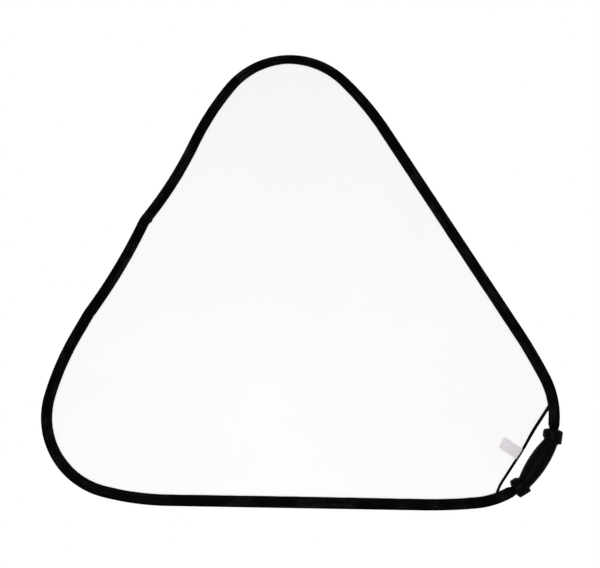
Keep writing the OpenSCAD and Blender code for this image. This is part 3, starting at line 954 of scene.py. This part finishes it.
def white_cloth():
    """Close plain weave, a faintly warm white."""
    material, shader = new_material("white_cloth", 0.82, 0.18)
    patches = noise(material, in_place(material), 0.16, 3.0)
    tones = ramp(material, patches, [(0.3, (0.935, 0.918, 0.912)), (0.7, (0.945, 0.930, 0.925))])
    connect(material, tones, shader.inputs["Base Color"])
    where = lengths(material)
    weave = maths(material, "MULTIPLY", bands(material, where, "X", 0.00062), bands(material, where, "Y", 0.00055))
    slubs = noise(material, where, 0.004, 3.0)
    bump(material, shader, maths(material, "ADD", weave, slubs), 0.00006, 0.35)
    shader.inputs["Sheen Weight"].default_value = 0.05
    return material


def black_tape():
    """Ribbed woven tape, a little greyer on its ribs, with painted sheen: faint lighter streaks along its length, in
    random patches.
    """
    material, shader = new_material("black_tape", 0.78, 0.02)
    where = lengths(material)
    ribs = bands(material, where, "X", 0.0009, 0.6)
    yarn = bands(material, where, "Y", 0.00045)
    weave = maths(material, "MULTIPLY", ribs, yarn)
    stretched = node(material, "ShaderNodeMapping", {"Vector": where, "Scale": (0.05, 1, 1)}).outputs["Vector"]
    # Painted sheen: lighter streaks along the tape, in random patches, stand in for the shine on its folds
    sheen_streaks = noise(material, stretched, 0.004, 3.0)
    patchy_sheen = maths(material, "MULTIPLY", noise(material, in_place(material), 0.03, 3.0), sheen_streaks)
    tones = ramp(material, maths(material, "ADD", patchy_sheen, maths(material, "MULTIPLY", weave, 0.08)),
                 [(0.27, (0.0008, 0.0008, 0.0009)), (0.46, (0.0100, 0.0096, 0.0095))])
    connect(material, tones, shader.inputs["Base Color"])
    bump(material, shader, weave, 0.00016, 0.6)
    return material


def black_thread():
    material, shader = new_material("black_thread", 0.55, 0.05)
    ply = bands(material, lengths(material), "DIAGONAL", 0.0004)
    tones = ramp(material, ply, [(0.1, (0.002, 0.002, 0.002)), (0.9, (0.011, 0.011, 0.011))])
    connect(material, tones, shader.inputs["Base Color"])
    bump(material, shader, ply, 0.00008, 0.7)
    return material


def black_plastic():
    """Moulded plastic with a fine spark grain, a little polished by the hand along the barrel."""
    material, shader = new_material("black_plastic", 0.42, 0.025)
    where = in_place(material)
    handled = noise(material, where, 0.03, 3.0)
    rough = ramp(material, handled, [(0.3, (0.36,)), (0.75, (0.52,))])
    connect(material, rough, shader.inputs["Roughness"])
    tones = ramp(material, handled, [(0.3, (0.0008, 0.0008, 0.0008)), (0.8, (0.0020, 0.0019, 0.0018))])
    connect(material, tones, shader.inputs["Base Color"])
    bump(material, shader, noise(material, where, 0.0007, 2.0), 0.00012, 0.35)
    return material


def label_weave():
    """Satin label tape, pale lilac and bare, with painted shade: a greyer stretch by the hem, where the label curves
    away from the light.
    """
    material, shader = new_material("label_weave", 0.5, 0.25)
    where = lengths(material)
    across = node(material, "ShaderNodeSeparateXYZ", {"Vector": where}).outputs["Y"]
    share = maths(material, "MULTIPLY", across, 0.5 / LABEL_LEN)
    # Painted shade: the tones grey toward the label's root by the hem
    tones = ramp(material, share, [(0.04, (0.627, 0.575, 0.59)), (0.36, (0.68, 0.64, 0.68)),
                                   (0.47, (0.69, 0.65, 0.69)), (0.52, (0.64, 0.61, 0.63))])
    connect(material, tones, shader.inputs["Base Color"])
    satin = maths(material, "MULTIPLY", bands(material, where, "X", 0.0004), bands(material, where, "Y", 0.0007))
    bump(material, shader, satin, 0.00006, 0.5)
    return material


def steel(name, colour, roughness):
    material, shader = new_material(name, roughness, 0.5, metallic=1.0)
    where = in_place(material)
    dull = noise(material, where, 0.004, 4.0)
    bright = tuple(min(1, c * 1.15) for c in colour)
    connect(material, ramp(material, dull, [(0.3, colour), (0.7, bright)]), shader.inputs["Base Color"])
    bump(material, shader, noise(material, where, 0.0006, 2.0), 0.00003, 0.4)
    return material


def dress_node(name, material):
    for place_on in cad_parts[name].material_slots:
        place_on.material = material


# Stage

LIGHT_LEVEL = 0.66
# Soft lamps: name, place, aim, size and power
LAMPS = [
    ("key", (-0.7, -4.2, 0.16), (-0.4, 0, -1.2), 1.3, 42),
    ("low", (-0.35, -1.5, -0.25), (-0.35, 0, 0), 0.4, 3.2),
]
FLOOR_X = (-4.4, 3.6)
FLOOR_Y = (-3.0, 2.0)
FLOOR_Z = -0.52
PHOTO_SPAN = 0.93
CAMERA_AT = (-0.3733, -3.5, 0.2699)
CAMERA_ROLL = 1.0


def white_world():
    """Soft even light, and plain white wherever the camera, gloss or glass looks past the object."""
    world = bpy.data.worlds.new("studio")
    bpy.context.scene.world = world
    world.use_nodes = True
    tree = world.node_tree
    lit = tree.nodes["Background"]
    lit.inputs["Color"].default_value = (1, 1, 1, 1)
    lit.inputs["Strength"].default_value = LIGHT_LEVEL
    seen = tree.nodes.new("ShaderNodeBackground")
    seen.inputs["Color"].default_value = (1, 1, 1, 1)
    rays = tree.nodes.new("ShaderNodeLightPath")
    direct = rays.outputs["Is Camera Ray"]
    for kind in ("Is Glossy Ray", "Is Transmission Ray"):
        either = tree.nodes.new("ShaderNodeMath")
        either.operation = "MAXIMUM"
        tree.links.new(direct, either.inputs[0])
        tree.links.new(rays.outputs[kind], either.inputs[1])
        direct = either.outputs[0]
    mix = tree.nodes.new("ShaderNodeMixShader")
    tree.links.new(direct, mix.inputs["Fac"])
    tree.links.new(lit.outputs[0], mix.inputs[1])
    tree.links.new(seen.outputs[0], mix.inputs[2])
    tree.links.new(mix.outputs[0], tree.nodes["World Output"].inputs["Surface"])


def soft_light(name, at, aim, size, power):
    lamp = bpy.data.lights.new(name, "AREA")
    lamp.shape = "DISK"
    lamp.size = size
    lamp.energy = power
    obj = bpy.data.objects.new(name, lamp)
    obj.location = at
    obj.rotation_euler = (Vector(aim) - Vector(at)).to_track_quat("-Z", "Y").to_euler()
    bpy.context.scene.collection.objects.link(obj)


def pale_floor():
    """Plain pale floor below the picture."""
    (x0, x1), (y0, y1) = FLOOR_X, FLOOR_Y
    mesh = bpy.data.meshes.new("floor")
    mesh.from_pydata([(x0, y0, FLOOR_Z), (x1, y0, FLOOR_Z), (x1, y1, FLOOR_Z), (x0, y1, FLOOR_Z)], [], [(0, 1, 2, 3)])
    floor = bpy.data.objects.new("floor", mesh)
    bpy.context.scene.collection.objects.link(floor)
    material, shader = new_material("floor_paper", 0.9, 0.1)
    grain = noise(material, in_place(material), 0.03, 3.0)
    connect(material, ramp(material, grain, [(0.3, (0.90, 0.90, 0.90)), (0.7, (0.93, 0.93, 0.93))]),
            shader.inputs["Base Color"])
    mesh.materials.append(material)


def photo_camera():
    data = bpy.data.cameras.new("camera")
    data.sensor_width = 36
    data.sensor_fit = "HORIZONTAL"
    data.lens = data.sensor_width * -CAMERA_AT[1] / PHOTO_SPAN
    camera = bpy.data.objects.new("camera", data)
    level = Matrix.Rotation(math.radians(90), 4, "X")
    roll = Matrix.Rotation(math.radians(CAMERA_ROLL), 4, "Z")
    camera.matrix_world = Matrix.Translation(CAMERA_AT) @ level @ roll
    bpy.context.scene.collection.objects.link(camera)
    bpy.context.scene.camera = camera


photo_camera()
white_world()
for lamp in LAMPS:
    soft_light(*lamp)
pale_floor()
bpy.context.scene.view_settings.view_transform = "Standard"

tape, thread = black_tape(), black_thread()
spring = steel("spring_steel", (0.36, 0.37, 0.40), 0.32)
plated = steel("plated_steel", (0.40, 0.405, 0.42), 0.34)
tapes = make_binding([tape, thread])
make_hoop(spring)
make_strap(spring)
hem = make_hem(tape)
make_panel(white_cloth())
make_label(label_weave())
make_grip(black_plastic())
dress_node("splice_ferrules", plated)
dress_node("grip_screws", plated)
